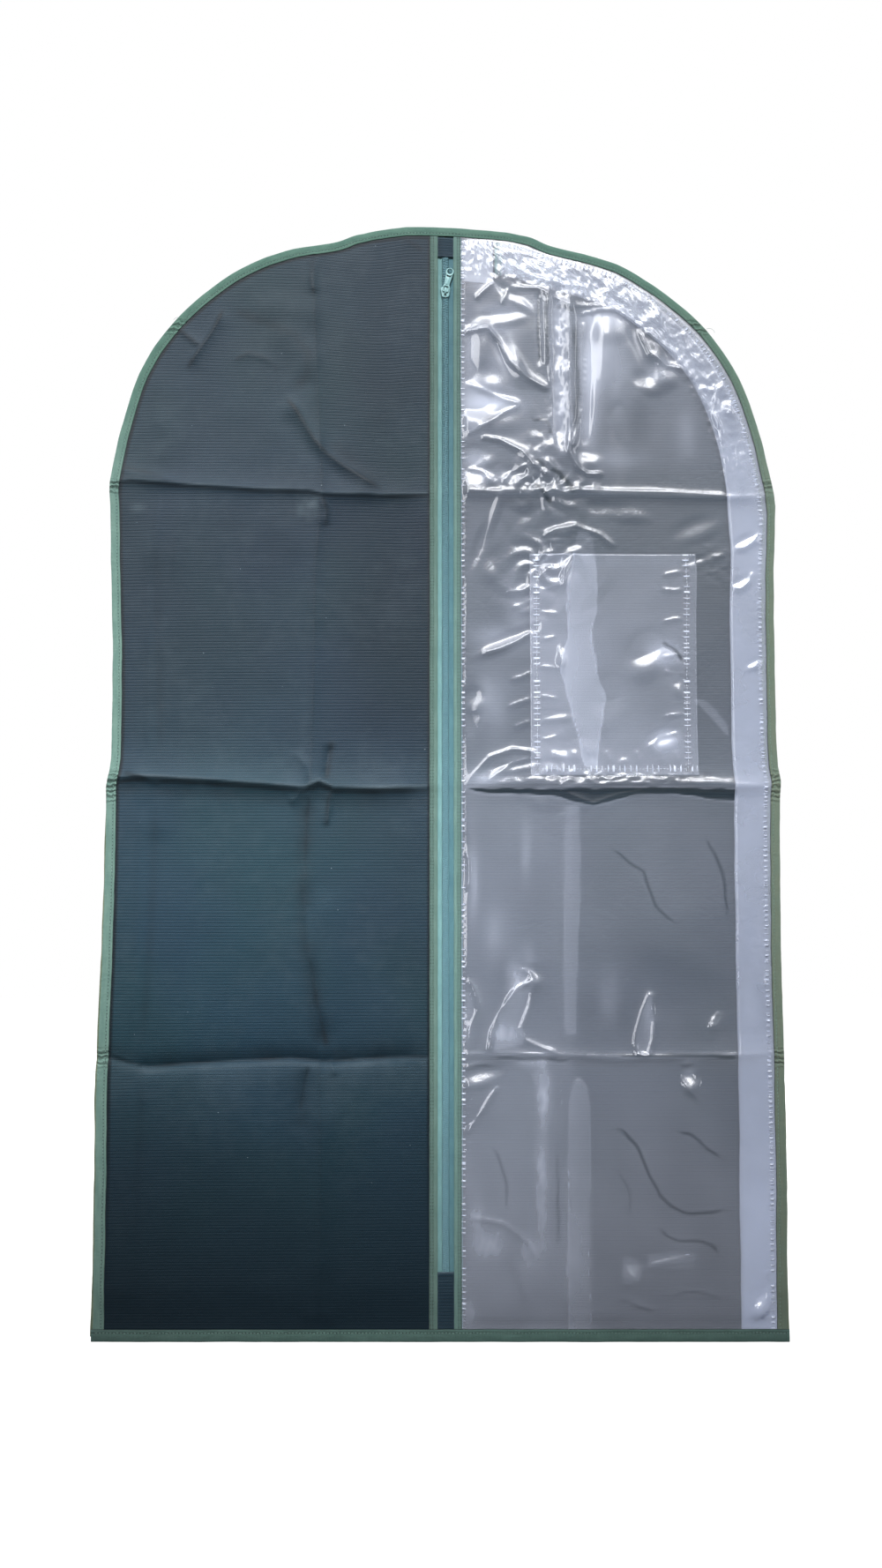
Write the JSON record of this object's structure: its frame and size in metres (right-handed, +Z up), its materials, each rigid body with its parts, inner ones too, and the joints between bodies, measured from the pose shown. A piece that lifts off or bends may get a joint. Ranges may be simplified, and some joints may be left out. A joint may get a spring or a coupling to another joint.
{
  "type": "garment bag",
  "caption": "Full-length zipped garment cover with an arched top, one cloth and one clear front half, V-folded side gussets and a card pocket.",
  "frame": {"origin": "middle of the bottom hem's lower edge, half way through the thickness", "axes": "+Z up along the zip as the bag hangs, +X to the right seen from the front, the front faces -Y"},
  "size_m": [0.603, 0.0138, 1],
  "materials": {
    "cloth": "matte spun-bond non-woven, embossed",
    "binding_tape": "woven tape, dull sheen",
    "zip_tape": "woven tape",
    "zip_coil": "nylon coil",
    "slider_enamel": "enamelled die casting, glossy",
    "clear_film": "clear soft film, glossy, slightly hazy",
    "label": "satin ribbon"
  },
  "bodies": {
    "root": {"back_panel": "cloth", "back_outline_binding": "binding_tape", "gusset_left": "cloth", "gusset_right": "clear_film", "gusset_end_binding_left": "binding_tape", "gusset_end_binding_right": "binding_tape", "bottom_binding": "binding_tape", "care_label": "label"},
    "front": {"front_outline_binding": "binding_tape", "zip_end_tab_top": "cloth", "zip_end_tab_bottom": "cloth"},
    "left_flap": {"front_left_panel": "cloth", "zip_binding_left": "binding_tape", "zip_tape_left": "zip_tape", "zip_coil_left": "zip_coil"},
    "right_flap": {"window_panel": "clear_film", "zip_binding_right": "binding_tape", "zip_tape_right": "zip_tape", "zip_coil_right": "zip_coil"},
    "pocket": {"pocket_sheet": "clear_film"},
    "slider": {"slider_body": "slider_enamel"},
    "pull": {"pull_tab": "slider_enamel"}
  },
  "joints": [
    {"name": "gusset_open", "type": "hinge", "parent": "root", "child": "front", "pos_m": [0, -0.00375, 0.011], "axis": [1, 0, 0], "range_deg": [0, 3.5]},
    {"name": "left_flap_open", "type": "hinge", "parent": "front", "child": "left_flap", "pos_m": [-0.2885, -0.00305, 0.5], "axis": [0, 0, 1], "range_deg": [-40, 0]},
    {"name": "right_flap_open", "type": "hinge", "parent": "front", "child": "right_flap", "pos_m": [0.2885, -0.00295, 0.5], "axis": [0, 0, 1], "range_deg": [0, 40]},
    {"name": "zip_slide", "type": "slide", "parent": "front", "child": "slider", "axis": [0, 0, 1], "range_m": [-0.872, 0]},
    {"name": "pull_swing", "type": "hinge", "parent": "slider", "child": "pull", "pos_m": [0.0025, -0.00515, 0.938], "axis": [1, 0, 0], "range_deg": [0, 170]},
    {"name": "pocket_gape", "type": "hinge", "parent": "right_flap", "child": "pocket", "pos_m": [0.1535, -0.00355, 0.492], "axis": [1, 0, 0], "range_deg": [0, 6]}
  ],
  "couplings": [
    {"joint": "left_flap_open", "follows": "zip_slide", "rad_per_m": 0.8},
    {"joint": "right_flap_open", "follows": "zip_slide", "rad_per_m": -0.8}
  ]
}
